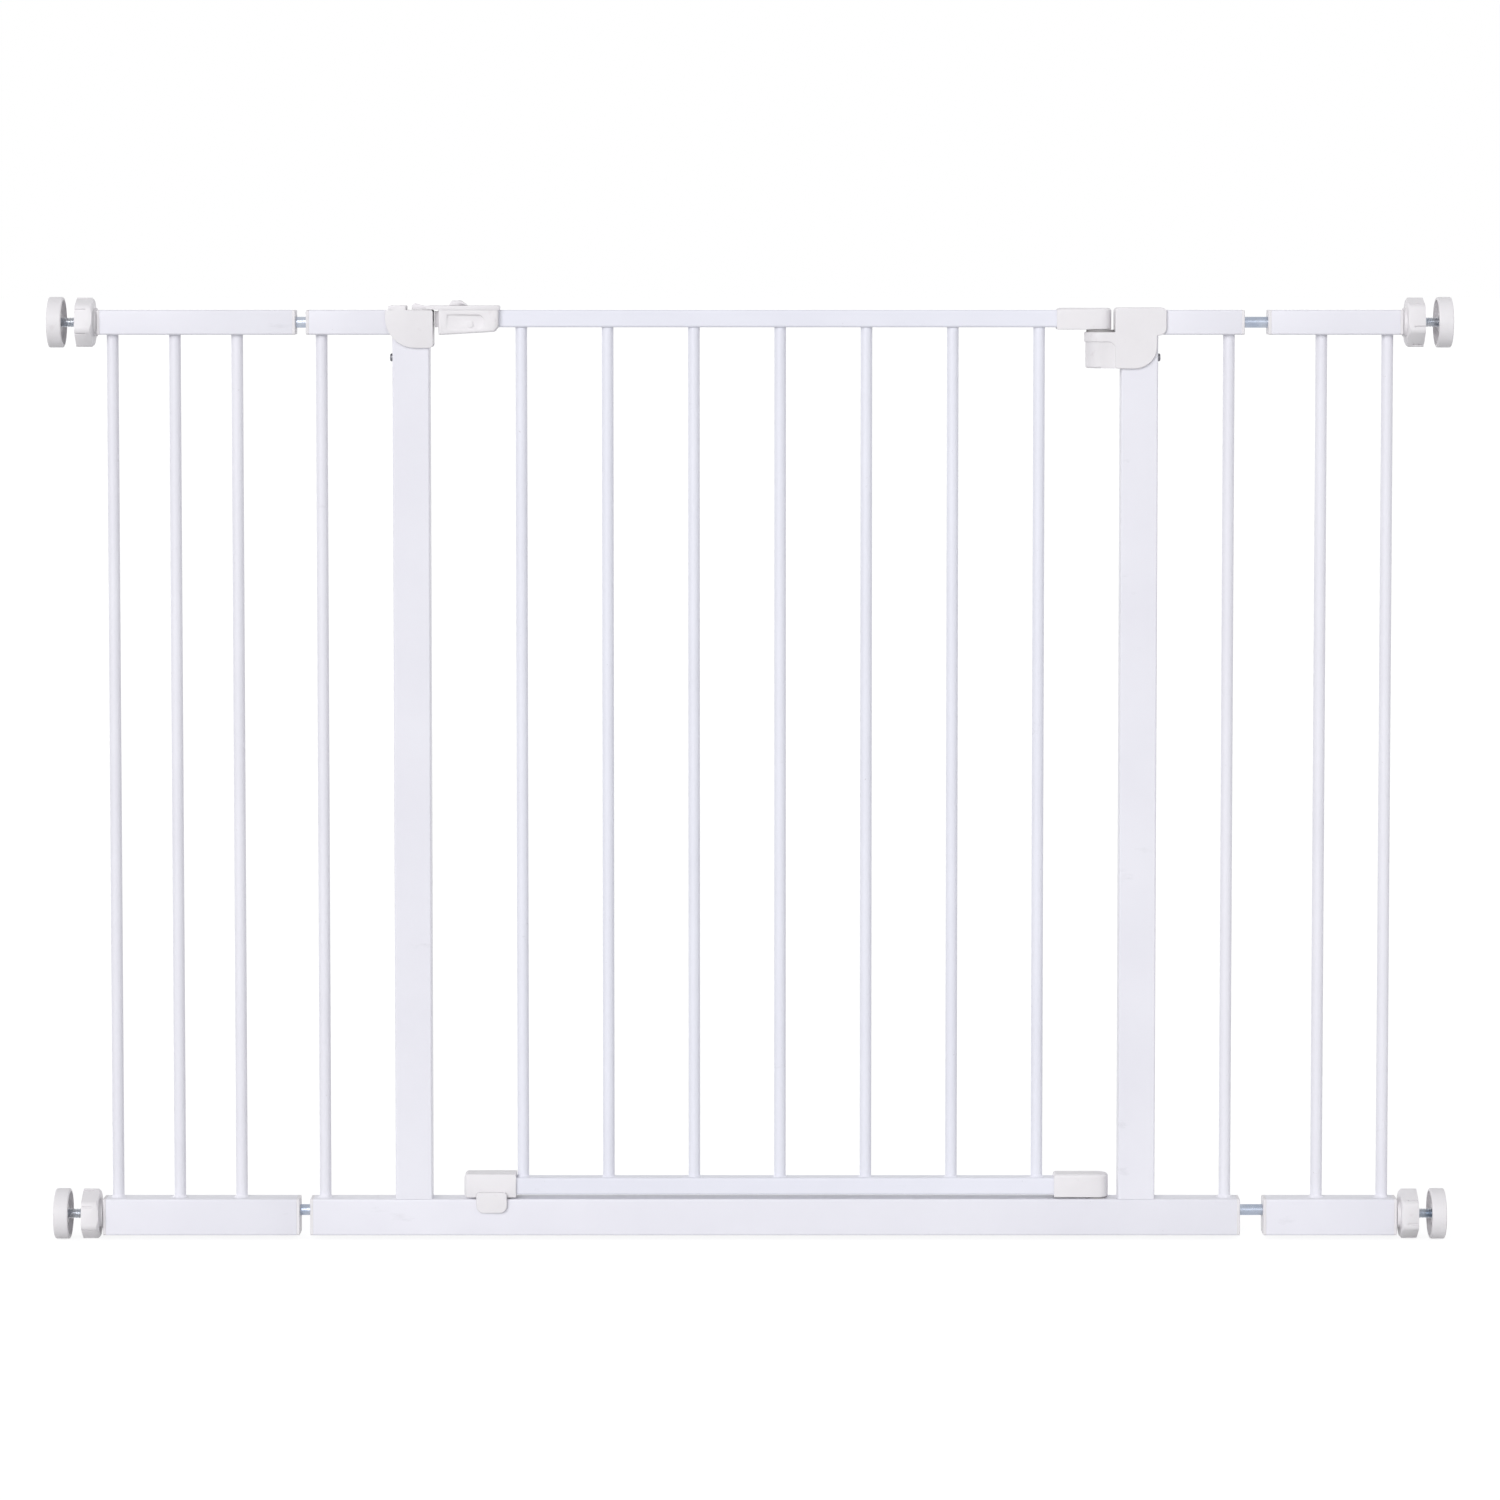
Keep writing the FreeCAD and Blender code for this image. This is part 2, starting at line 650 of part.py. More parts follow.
def handle_shell(side):
    """Half of the handle; side is -1 for the half that faces the viewer."""
    half = handle_depth / 2
    z_left = z_door_top - handle_drop_left
    z_right = z_door_top - handle_drop_right
    outline_points = [
        (x_handle, z_door_top), (x_handle, z_left, 1.5), (x_handle_end - 3.5, z_right, 1.0),
        (x_handle_end, z_right + 4.2, 1.0), (x_handle_end, z_door_top),
    ]
    y0, y1 = sorted((0.0, side * half))
    body = plate(outline_points, y0, y1)
    outer = side * half
    z_brim = z_door_top - 0.5
    body = soften(
        body, 1.8, lambda e: all(abs(v.Y - outer) < 1e-6 for v in e.Vertexes) and e.BoundBox.ZMax < z_brim
    )
    w = handle_wall
    cavity_y = sorted((-side, side * (half - w)))
    cavity_points = [
        (x_handle + w, z_door_top + 1),
        (x_handle + w, z_left + w + 1.6),
        (x_handle_end - w, z_right + w + 1.6),
        (x_handle_end - w, z_door_top + 1),
    ]
    body = body.cut(plate(cavity_points, cavity_y[0], cavity_y[1]))
    rib_y = sorted((side * (door_rail / 2 + 0.1), side * (half - w + 0.3)))
    for x in (x_rail_start + 2, x_handle_end - 7):
        body = body.fuse(box(x, x + 2, rib_y[0], rib_y[1], z_right + w + 1, z_door_top - 0.1))
    nose_y = sorted((0.0, side * 6.0))
    x_nose = x_handle - nose_length
    z_nose = z_door_top - door_rail
    body = body.fuse(box(x_nose, x_handle + 1, nose_y[0], nose_y[1], z_nose, z_door_top - 1))
    slot_y = sorted((-side, side * (hook_width / 2 + 0.6)))
    body = body.cut(box(x_nose - 1, x_handle + w + 1, slot_y[0], slot_y[1], z_door_top - 5, z_door_top + 1))
    boss = rod(3.0, V(x_pivot, side * (half - w - 2.5), z_pivot), Y * side, 3.0)
    body = body.fuse(boss).removeSplitter()
    body = body.cut(rod(pivot_diameter / 2 + 0.03, V(x_pivot, 0, z_pivot), Y * side, half - pivot_cover))
    body = body.cut(rail_pocket(x_rail_start, x_handle_end + 2, z_door_top - door_rail))
    if side < 0:
        body = body.fuse(recess_backing(-half)).cut(thumb_recess(-half))
    for x, z in shell_screw_places():
        if side < 0:
            post_solid = rod(2.6, V(x, -half + 1, z), Y, half - 1.0)
            body = body.fuse(post_solid).cut(rod(1.1, V(x, -half + 3.5, z), Y, half))
        else:
            body = body.fuse(rod(2.6, V(x, 0, z), Y, half - 1)).cut(rod(1.35, V(x, -1, z), Y, half + 2))
            body = body.cut(rod(2.3, V(x, half - 2.0, z), Y, 3))
    return body.removeSplitter()


def thumb_recess(y_face):
    """A scooped grip: deepest at its closed end and along its top, running out at the other end."""
    x0, x1 = x_handle + 7.0, x_handle + 37.0
    z0 = z_door_top - recess_drop - recess_height
    z1 = z_door_top - recess_drop
    tool = plate([(x0, z0, 1.0), (x1, z0, 5.5), (x1, z1, 5.5), (x0, z1, 1.0)], -8, 0)
    tool.rotate(V(x0, 0, z0), Z, recess_slope)
    tool.rotate(V(x0, 0, z0), X, -recess_tilt)
    tool.translate(V(0, y_face + 0.05, 0))
    return tool


def recess_backing(y_face):
    """Thicker wall behind the thumb recess."""
    y0 = y_face + handle_wall - 0.2
    z0 = z_door_top - recess_drop - recess_height - 1
    return box(x_handle + 14, x_handle + 39, y0, y0 + 1.9, z0, z0 + recess_height + 2)


def shell_screw_places():
    return [
        (x_handle + 5.6, z_door_top - handle_drop_left + 5.0),
        (x_handle + 25.5, z_door_top - handle_drop_right + 6.0),
    ]


def shell_screw(x, z):
    half = handle_depth / 2
    shank = rod(1.1, V(x, half - 12.0, z), Y, 10.2)
    head = rod(2.1, V(x, half - 1.9, z), Y, 1.5)
    return shank.fuse(head).removeSplitter()


def handle_cover_plate():
    """Flat cover on the handle, slotted for the hook and the button's stem, with a fork over the keeper."""
    half = handle_depth / 2
    z0, z1 = z_door_top + 0.1, z_door_top + handle_cover
    x_end = x_handle_end + 0.4
    x_fork = x_handle - cover_nose_length
    z_fork = z_door_top + cover_nose_gap
    side = [
        (x_handle, z0), (x_end, z0), (x_end, z1, 1.4), (x_fork, z1, 1.4), (x_fork, z_fork, 0.5),
        (x_handle, z_fork),
    ]
    slot_y = hook_width / 2 + 0.6
    return plate(side, -half, half).cut(box(x_fork - 1, x_pivot + 11.5, -slot_y, slot_y, z0 - 1, z1 + 1))


x_button = x_pivot + 5.9


def button():
    """Thumb slide on the cover; its stem holds the hook's heel down while the slide is back."""
    z0 = z_door_top + handle_cover + 0.2
    x0, x1 = x_button - button_length / 2, x_button + button_length / 2
    z1 = z0 + button_height
    side = [(x0, z0), (x1, z0), (x1 - 1.0, z0 + 1.2, 0.8), (x0 + 9.5, z1, 3.0), (x0 + 2.5, z1, 2.0)]
    cap = plate(side, -7.0, 7.0)
    cap = soften(cap, 1.0, lambda e: e.BoundBox.YLength < 1e-6 and e.BoundBox.ZMax > z0 + 1)
    for i in range(3):
        x = x0 + 3.6 + 2.4 * i
        cap = cap.cut(box(x - 0.4, x + 0.4, -5.0, 5.0, z1 - 0.4, z1 + 1))
    stem = box(x_pivot + 7.0, x_pivot + 11.0, -3.2, 3.2, z_door_top - 1.7, z0 + 1)
    return cap.fuse(stem).removeSplitter()


def hook():
    """Rocking latch hook: a tip over the keeper, an arm, and a heel under the button's stem."""
    tip_end = x_pivot - hook_reach - pivot_inset
    under = z_door_top + 0.4
    top = z_door_top + handle_cover - 0.2
    heel = [
        (x_pivot - 5, z_pivot - 2.5, 1.0),
        (x_pivot + 11, z_pivot - 1.5, 0.8),
        (x_pivot + 11, z_pivot + 4.9, 0.6),
        (x_pivot + 7.8, z_pivot + 3.4),
        (x_pivot + 6.6, z_pivot + 2.4),
        (x_pivot + 2.3, z_pivot + 2.6),
    ]
    tip = [
        (tip_end + hook_tip_length + 1, top),
        (tip_end + 2.5, top + 2.1, 0.8),
        (tip_end, top + 0.8, 0.6),
        (tip_end, under, 0.8),
    ]
    profile = [(x_pivot - 7, under)] + heel + [(x_pivot + 0.5, top - 0.8), (x_pivot - 3, top)] + tip
    half = hook_width / 2
    body = plate(profile, -half, half)
    bore = pivot_diameter / 2 + running_clearance
    return body.cut(rod(bore, V(x_pivot, -half - 1, z_pivot), Y, hook_width + 2))


def pivot_pin():
    length = handle_depth - 2 * (pivot_cover + pivot_end_gap)
    return rod(pivot_diameter / 2, V(x_pivot, -length / 2, z_pivot), Y, length)


def latch_spring():
    """Small torsion spring on the pivot pin, beside the hook."""
    return coil(2.4, 0.35, 0.9, 3.6, V(x_pivot, hook_width / 2 + 4.2, z_pivot), (X, 90))


# ---------------------------------------------------------------- the assembly
def build_frame():
    left_post = post(x_passage - post_width, z_top - channel_depth - channel_floor)
    hole = fixing_screw_diameter / 2 + 0.2
    x_left_face = x_passage - post_width
    x_right_face = x_passage_end + post_width
    left_hole = rod(hole, V(x_left_face - 1, 0, z_top - screw_drop), X, tube_wall + 2)
    right_hole = rod(hole, V(x_right_face + 1, 0, z_top - screw_drop), X * -1, tube_wall + 2)
    save("latch_post", left_post.cut(left_hole))
    save("hinge_post", post(x_passage_end, z_post_top).cut(right_hole))
    bottom = rail(x_frame + plug_flange, x_frame_end - plug_flange, z_bottom, z_sill)
    bottom = bottom.cut(rod(bush_radius + 0.1, V(x_hinge, 0, z_sill - 3), Z, 5))
    save("frame_bottom_rail", bottom)
    save("left_top_rail", rail(x_frame + plug_flange, x_left_face, z_lintel, z_top))
    save("right_top_rail", rail(x_right_face, x_frame_end - plug_flange, z_lintel, z_top))
    save("left_frame_bar", upright(x_frame + frame_bar_inset, z_sill, z_lintel))
    save("right_frame_bar", upright(x_frame_end - frame_bar_inset, z_sill, z_lintel))
    plugs = plug_pair(x_frame, 1, joining_rod_diameter, z_low_joint)
    plugs += plug_pair(x_frame_end, -1, joining_rod_diameter, z_low_joint)
    save("frame_end_plugs", plugs)
    save("left_joining_rods", joining_rods(x_left_panel_end, x_frame))
    save("right_joining_rods", joining_rods(x_frame_end, x_right_panel))
    save("latch_keeper", latch_keeper())
    save("hinge_housing", hinge_block())
    save("hinge_socket_cap", socket_cap())
    save("hinge_spring", hinge_spring())
    save("housing_screws", [fixing_screw(x_left_face, 1), fixing_screw(x_right_face, -1)])
    bore = hinge_pin_diameter / 2 + running_clearance
    save("hinge_washer", ring(washer_radius, bore, z_socket, washer_thickness))
    save("lower_hinge_bush", hinge_bush())


def build_door():
    z_pin = z_socket - socket_height + socket_cap_width + 1
    save("upper_hinge_pin", hinge_pin(z_pin, z_high_cap + hinge_cap_height - 3))
    save("lower_hinge_pin", hinge_pin(z_sill - bush_length - 6, z_low_cap + lower_cap_height - 3.5))
    save("door_top_rail", door_tube(x_rail_start + 0.2, x_door_rail_end - 0.2, z_door_top - door_rail))
    save("door_bottom_rail", door_tube(x_latch_cap + 3.2, x_door_rail_end - 0.2, z_door))
    z_foot = z_door + door_rail
    z_head = z_door_top - door_rail
    bars = [upright(x_first_bar + i * door_bar_pitch, z_foot, z_head) for i in range(door_bars)]
    save("door_bars", bars)
    save("upper_hinge_cap", upper_hinge_cap())
    save("lower_hinge_cap", lower_hinge_cap())
    save("lower_latch_cap", latch_cap())
    save("stop_clip", stop_clip())
    save("handle_front_shell", handle_shell(-1))
    save("handle_rear_shell", handle_shell(1))
    save("handle_cover", handle_cover_plate())
    save("handle_screws", [shell_screw(x, z) for x, z in shell_screw_places()])
    save("latch_pivot_pin", pivot_pin())
    save("latch_spring", latch_spring())
    save("latch_hook", hook())
    save("latch_button", button())


def build_panels():
    left = [x_left_panel + panel_bar_inset + i * left_panel_pitch for i in range(left_panel_bars)]
    x_last = x_right_panel_end - panel_bar_inset
    right = [x_last - i * right_panel_pitch for i in range(right_panel_bars)]
    panel("left", x_left_panel, x_left_panel_end, left, -1)
    panel("right", x_right_panel, x_right_panel_end, right, 1)


def build_adjusters():
    for side, x_end, x_wall, outward in (
        ("left", x_left_panel, x_left_wall, -1),
        ("right", x_right_panel_end, x_right_wall, 1),
    ):
        adjuster("upper_" + side, x_end, x_wall, outward, z_high_rod, upper_nut_turn)
        adjuster("lower_" + side, x_end, x_wall, outward, z_low_screw, lower_nut_turn)


os.makedirs("parts", exist_ok=True)
build_frame()
build_door()
build_panels()
build_adjusters()
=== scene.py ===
import bpy
import bmesh
import json
import math
import random
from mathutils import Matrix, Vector


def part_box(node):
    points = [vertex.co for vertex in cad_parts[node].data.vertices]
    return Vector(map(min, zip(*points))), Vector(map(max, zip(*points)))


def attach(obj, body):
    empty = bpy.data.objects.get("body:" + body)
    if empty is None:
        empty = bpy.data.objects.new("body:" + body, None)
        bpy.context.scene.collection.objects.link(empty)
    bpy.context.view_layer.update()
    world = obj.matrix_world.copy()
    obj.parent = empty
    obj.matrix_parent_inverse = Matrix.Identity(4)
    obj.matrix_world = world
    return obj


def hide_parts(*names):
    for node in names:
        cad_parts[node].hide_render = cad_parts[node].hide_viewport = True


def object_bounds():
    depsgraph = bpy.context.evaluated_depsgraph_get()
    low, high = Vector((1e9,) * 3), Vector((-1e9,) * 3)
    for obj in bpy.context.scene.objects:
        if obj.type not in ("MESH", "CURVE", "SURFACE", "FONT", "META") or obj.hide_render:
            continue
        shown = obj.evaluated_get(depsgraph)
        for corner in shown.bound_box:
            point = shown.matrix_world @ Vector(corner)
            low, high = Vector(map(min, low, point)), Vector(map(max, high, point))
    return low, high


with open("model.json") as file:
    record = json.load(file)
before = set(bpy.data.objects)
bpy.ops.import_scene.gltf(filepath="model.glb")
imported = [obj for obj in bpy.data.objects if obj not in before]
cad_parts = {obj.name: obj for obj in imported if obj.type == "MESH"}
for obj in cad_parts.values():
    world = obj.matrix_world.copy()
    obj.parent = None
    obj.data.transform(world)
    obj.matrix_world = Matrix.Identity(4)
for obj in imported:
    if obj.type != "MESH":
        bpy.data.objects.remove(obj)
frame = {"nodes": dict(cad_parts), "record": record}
cad_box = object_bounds()
NODES = frame["nodes"]
BODY = {n: b for b, ns in frame["record"]["behaviour"]["bodies"].items() for n in ns}
SLOT = {s["node"]: s["material_slot"] for s in frame["record"]["subparts"]}
MM = 0.001


# ---------------------------------------------------------------- shader helpers
# Noise scales are in features per metre, and bump distances in metres.
MIX_A, MIX_B, MIX_RESULT = 6, 7, 2  # the colour sockets of a Mix node


def new_material(name):
    mat = bpy.data.materials.new(name)
    mat.use_nodes = True
    tree = mat.node_tree
    tree.nodes.clear()
    out = tree.nodes.new("ShaderNodeOutputMaterial")
    return mat, tree, out


def principled(name):
    """A new material with one Principled shader, and the coordinates that its textures use."""
    mat, tree, out = new_material(name)
    shader = tree.nodes.new("ShaderNodeBsdfPrincipled")
    tree.links.new(shader.outputs["BSDF"], out.inputs["Surface"])
    xyz = tree.nodes.new("ShaderNodeTexCoord").outputs["Object"]
    return mat, tree, shader, xyz


def noise(tree, coords, scale, detail=3.0, rough=0.5, stretch=None):
    """Fractal noise, squeezed along the axes whose stretch is above 1."""
    node = tree.nodes.new("ShaderNodeTexNoise")
    node.inputs["Scale"].default_value = scale
    node.inputs["Detail"].default_value = detail
    node.inputs["Roughness"].default_value = rough
    source = coords
    if stretch is not None:
        mapping = tree.nodes.new("ShaderNodeMapping")
        mapping.inputs["Scale"].default_value = stretch
        tree.links.new(coords, mapping.inputs["Vector"])
        source = mapping.outputs["Vector"]
    tree.links.new(source, node.inputs["Vector"])
    return node.outputs["Fac"]


def ramp(tree, value, low, high):
    """Blends from the low stop's colour to the high one's. A stop is (position, colour)."""
    node = tree.nodes.new("ShaderNodeValToRGB")
    for point, (position, colour) in zip(node.color_ramp.elements, (low, high)):
        point.position = position
        point.color = (*colour, 1.0)
    tree.links.new(value, node.inputs["Fac"])
    return node.outputs["Color"]


def grey(v):
    return (v, v, v)


def multiply(tree, a, b, factor=1.0):
    node = tree.nodes.new("ShaderNodeMix")
    node.data_type = "RGBA"
    node.blend_type = "MULTIPLY"
    node.inputs["Factor"].default_value = factor
    tree.links.new(a, node.inputs[MIX_A])
    tree.links.new(b, node.inputs[MIX_B])
    return node.outputs[MIX_RESULT]


def add_bumps(tree, shader, *layers):
    """Chains bump nodes: each layer is (height output, strength, distance)."""
    last = None
    for height, strength, distance in layers:
        bump = tree.nodes.new("ShaderNodeBump")
        bump.inputs["Strength"].default_value = strength
        bump.inputs["Distance"].default_value = distance
        tree.links.new(height, bump.inputs["Height"])
        if last is not None:
            tree.links.new(last, bump.inputs["Normal"])
        last = bump.outputs["Normal"]
    tree.links.new(last, shader.inputs["Normal"])


# ---------------------------------------------------------------- materials
def paint(name, light, dark, scuff, gloss):
    """Satin powder coat: orange-peel skin, slight shade drift, faint rubbed marks and specks."""
    mat, tree, shader, xyz = principled(name)
    drift = ramp(tree, noise(tree, xyz, 9.0, detail=4.0), (0.35, dark), (0.65, light))
    marks = noise(tree, xyz, 38.0, detail=6.0, rough=0.62, stretch=(0.5, 1.0, 1.6))
    rubbed = ramp(tree, marks, (0.66, grey(1.0)), (0.74, grey(scuff)))
    dirt = noise(tree, xyz, 300.0, rough=0.6)
    specks = ramp(tree, dirt, (0.72, grey(1.0)), (0.78, (0.78, 0.76, 0.75)))
    worn_colour = multiply(tree, drift, rubbed)
    tree.links.new(multiply(tree, worn_colour, specks), shader.inputs["Base Color"])
    speckle = noise(tree, xyz, 420.0, detail=2.0)
    sheen = ramp(tree, speckle, (0.3, grey(gloss - 0.04)), (0.7, grey(gloss + 0.06)))
    polished = ramp(tree, marks, (0.60, grey(1.0)), (0.72, grey(0.72)))
    tree.links.new(multiply(tree, sheen, polished, factor=0.5), shader.inputs["Roughness"])
    shader.inputs["Specular IOR Level"].default_value = 0.32
    peel = noise(tree, xyz, 620.0, detail=2.5, rough=0.45)
    swell = noise(tree, xyz, 120.0, detail=2.0, rough=0.4)
    add_bumps(tree, shader, (swell, 0.10, 0.0004), (peel, 0.16, 0.0002))
    return mat


def moulded(name, light, dark, gloss, grain, turned=0.0):
    """Injection-moulded plastic: spark texture, shade drift, smudges, scratches and turned lines."""
    mat, tree, shader, xyz = principled(name)
    drift = ramp(tree, noise(tree, xyz, 26.0, detail=5.0), (0.32, dark), (0.68, light))
    smudge = noise(tree, xyz, 70.0, detail=6.0, rough=0.6)
    soiled = ramp(tree, smudge, (0.64, grey(1.0)), (0.76, (0.88, 0.855, 0.86)))
    tree.links.new(multiply(tree, drift, soiled), shader.inputs["Base Color"])
    scratches = noise(tree, xyz, 160.0, stretch=(1.0, 1.0, 9.0))
    rough = ramp(tree, scratches, (0.35, grey(gloss - 0.05)), (0.7, grey(gloss + 0.08)))
    tree.links.new(rough, shader.inputs["Roughness"])
    shader.inputs["Specular IOR Level"].default_value = 0.35
    spark = noise(tree, xyz, 1500.0, detail=2.0)
    sink = noise(tree, xyz, 55.0, detail=1.0, rough=0.4)
    layers = [(sink, 0.08, 0.0005), (spark, grain, 0.00012), (scratches, 0.05, 0.0001)]
    if turned > 0:
        lines = noise(tree, xyz, 900.0, detail=1.0, rough=0.4, stretch=(1.0, 0.004, 0.004))
        layers.append((lines, turned, 0.00025))
    add_bumps(tree, shader, *layers)
    return mat


def plated(name, pale, blue, rough_low, rough_high, stretch):
    """Zinc-plated steel: blue passivate drift, drawn lines along the rod and dull patches."""
    mat, tree, shader, xyz = principled(name)
    tint = ramp(tree, noise(tree, xyz, 60.0, detail=4.0, rough=0.6), (0.3, blue), (0.6, pale))
    patches = noise(tree, xyz, 240.0, detail=5.0, rough=0.65)
    dull = ramp(tree, patches, (0.45, grey(1.0)), (0.75, grey(0.80)))
    tree.links.new(multiply(tree, tint, dull), shader.inputs["Base Color"])
    lines = noise(tree, xyz, 900.0, rough=0.6, stretch=stretch)
    rough = ramp(tree, lines, (0.3, grey(rough_low)), (0.7, grey(rough_high)))
    tree.links.new(rough, shader.inputs["Roughness"])
    shader.inputs["Metallic"].default_value = 1.0
    add_bumps(tree, shader, (lines, 0.12, 0.00008))
    return mat


def rubbery(name, light, dark):
    """Matte rubber with fine pores and a little dust."""
    mat, tree, shader, xyz = principled(name)
    dust = ramp(tree, noise(tree, xyz, 90.0, detail=6.0, rough=0.65), (0.35, dark), (0.7, light))
    tree.links.new(dust, shader.inputs["Base Color"])
    pores = noise(tree, xyz, 1100.0)
    rough = ramp(tree, pores, (0.3, grey(0.72)), (0.7, grey(0.9)))
    tree.links.new(rough, shader.inputs["Roughness"])
    shader.inputs["Specular IOR Level"].default_value = 0.25
    add_bumps(tree, shader, (pores, 0.3, 0.0002))
    return mat


ALONG_ROD = (1.0, 14.0, 14.0)
EVENLY = (6.0, 6.0, 6.0)
PLASTIC_LIGHT, PLASTIC_DARK = (0.790, 0.772, 0.790), (0.752, 0.732, 0.750)
MATERIALS = {
    "powder_coat": paint("powder_coat", (0.800, 0.795, 0.850), (0.770, 0.764, 0.822), 0.93, 0.34),
    "door_coat": paint("door_coat", (0.790, 0.795, 0.865), (0.762, 0.766, 0.838), 0.94, 0.32),
    "white_plastic": moulded("white_plastic", PLASTIC_LIGHT, PLASTIC_DARK, 0.40, 0.18),
    "foot_plastic": moulded("foot_plastic", PLASTIC_LIGHT, PLASTIC_DARK, 0.42, 0.16, turned=0.5),
    "bearing_plastic": moulded("bearing_plastic", (0.34, 0.33, 0.33), (0.27, 0.26, 0.26), 0.5, 0.12),
    "zinc_steel": plated("zinc_steel", (0.66, 0.67, 0.70), (0.44, 0.50, 0.58), 0.20, 0.38, ALONG_ROD),
    "drawn_zinc": plated("drawn_zinc", (0.50, 0.54, 0.62), (0.32, 0.37, 0.47), 0.20, 0.38, ALONG_ROD),
    "screw_zinc": plated("screw_zinc", (0.20, 0.20, 0.22), (0.12, 0.12, 0.14), 0.30, 0.48, EVENLY),
    "spring_steel": plated("spring_steel", (0.44, 0.45, 0.47), (0.34, 0.35, 0.38), 0.25, 0.42, EVENLY),
    "pad_rubber": rubbery("pad_rubber", (0.46, 0.45, 0.44), (0.38, 0.37, 0.36)),
}


def look_of(node):
    """The material of a CAD node: its slot's, or a closer match within that slot."""
    if node.startswith("door_") and SLOT[node] == "powder_coat":
        return MATERIALS["door_coat"]
    if node.endswith("wall_foot"):
        return MATERIALS["foot_plastic"]
    if node.endswith("joining_rods"):
        return MATERIALS["drawn_zinc"]
    if node == "housing_screws":
        return MATERIALS["screw_zinc"]
    return MATERIALS[SLOT[node]]


def dress(obj, material):
    obj.data.materials.clear()
    obj.data.materials.append(material)


# ---------------------------------------------------------------- piece helpers
# Angles in degrees. An edge that turns more than a sharp angle is shaded as an edge.
CAD_SHARP = 25
MOULDING_SHARP = 32
THREAD_SHARP = 50
WELD_SHARP = 60
ROUNDED_FROM = 28  # edges that turn more than this are rounded over
FLAT_WITHIN = 0.6  # facets nearer to flat than this are merged first
SAME_POINT = 2e-6  # metres between vertices that are one point


def place(obj):
    bpy.context.scene.collection.objects.link(obj)


def add_piece(name, mesh, node, standing_for=()):
    """Puts a mesh on a CAD node's body, with that node's look."""
    obj = bpy.data.objects.new(name, mesh)
    place(obj)
    dress(obj, look_of(node))
    body, slot = BODY[node], SLOT[node]
    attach(obj, body)
    if standing_for:
        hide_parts(*standing_for)
    return obj


def shade_smooth(mesh, sharp_angle):
    for face in mesh.polygons:
        face.use_smooth = True
    mesh.set_sharp_from_angle(angle=math.radians(sharp_angle))


def mesh_from(bm, name, sharp_angle):
    mesh = bpy.data.meshes.new(name)
    bmesh.ops.recalc_face_normals(bm, faces=bm.faces)
    for face in bm.faces:
        face.smooth = True
    for edge in bm.edges:
        if len(edge.link_faces) == 2 and edge.calc_face_angle(0.0) > math.radians(sharp_angle):
            edge.smooth = False
    bm.to_mesh(mesh)
    bm.free()
    return mesh


def softened(node, width, segments):
    """A copy of a CAD node's solids with every crisp edge rounded over, as moulding leaves it."""
    bm = bmesh.new()
    bm.from_mesh(NODES[node].data)
    bmesh.ops.remove_doubles(bm, verts=bm.verts, dist=SAME_POINT)
    bmesh.ops.dissolve_limit(
        bm,
        angle_limit=math.radians(FLAT_WITHIN),
        use_dissolve_boundaries=False,
        verts=bm.verts,
        edges=bm.edges,
    )
    mesh = bpy.data.meshes.new(node + "_soft")
    bm.to_mesh(mesh)
    bm.free()
    obj = add_piece(node + "_moulding", mesh, node, [node])
    bevel = obj.modifiers.new("edge", "BEVEL")
    bevel.width = width
    bevel.segments = segments
    bevel.limit_method = "ANGLE"
    bevel.angle_limit = math.radians(ROUNDED_FROM)
    bpy.context.view_layer.update()
    graph = bpy.context.evaluated_depsgraph_get()
    solid = bpy.data.meshes.new_from_object(obj.evaluated_get(graph))
    obj.modifiers.clear()
    obj.data = solid
    shade_smooth(solid, MOULDING_SHARP)


def skin(bm, rings):
    """Joins vertex loops of equal length with faces, each to the next."""
    for a, b in zip(rings, rings[1:]):
        for i in range(len(a)):
            j = (i + 1) % len(a)
            bm.faces.new((a[i], a[j], b[j], b[i]))


# ---------------------------------------------------------------- welds
WELD_STEPS = 48  # facets round a bar
WELD_EDGE_DEPTH = 0.00015  # metres from the bar's skin in to where the bead's outline starts
WELD_ROOT_DEPTH = 0.0004  # metres from the bar's skin in to where the bead closes
WELD_RISE = 1.15  # height of a lower bead over its spread
# The bead's outline: (share of its spread, share of its height).
WELD_FORM = [(1.0, 0.0), (0.62, 0.12), (0.34, 0.32), (0.14, 0.62), (0.0, 1.0)]
# The ripple of a hand-made weld: (waves round the bar, share of the spread).
WELD_RIPPLE = [(5, 0.16), (9, 0.10), (17, 0.07)]
HEIGHT_RIPPLE = 0.1  # share of the ripple that shows in the height
LOWER_SEED_STEP, UPPER_SEED_STEP = 11, 13


def ring_about_z(bm, x, z, radius):
    angles = [math.tau * k / WELD_STEPS for k in range(WELD_STEPS)]
    return [bm.verts.new((x + radius * math.cos(a), radius * math.sin(a), z)) for a in angles]


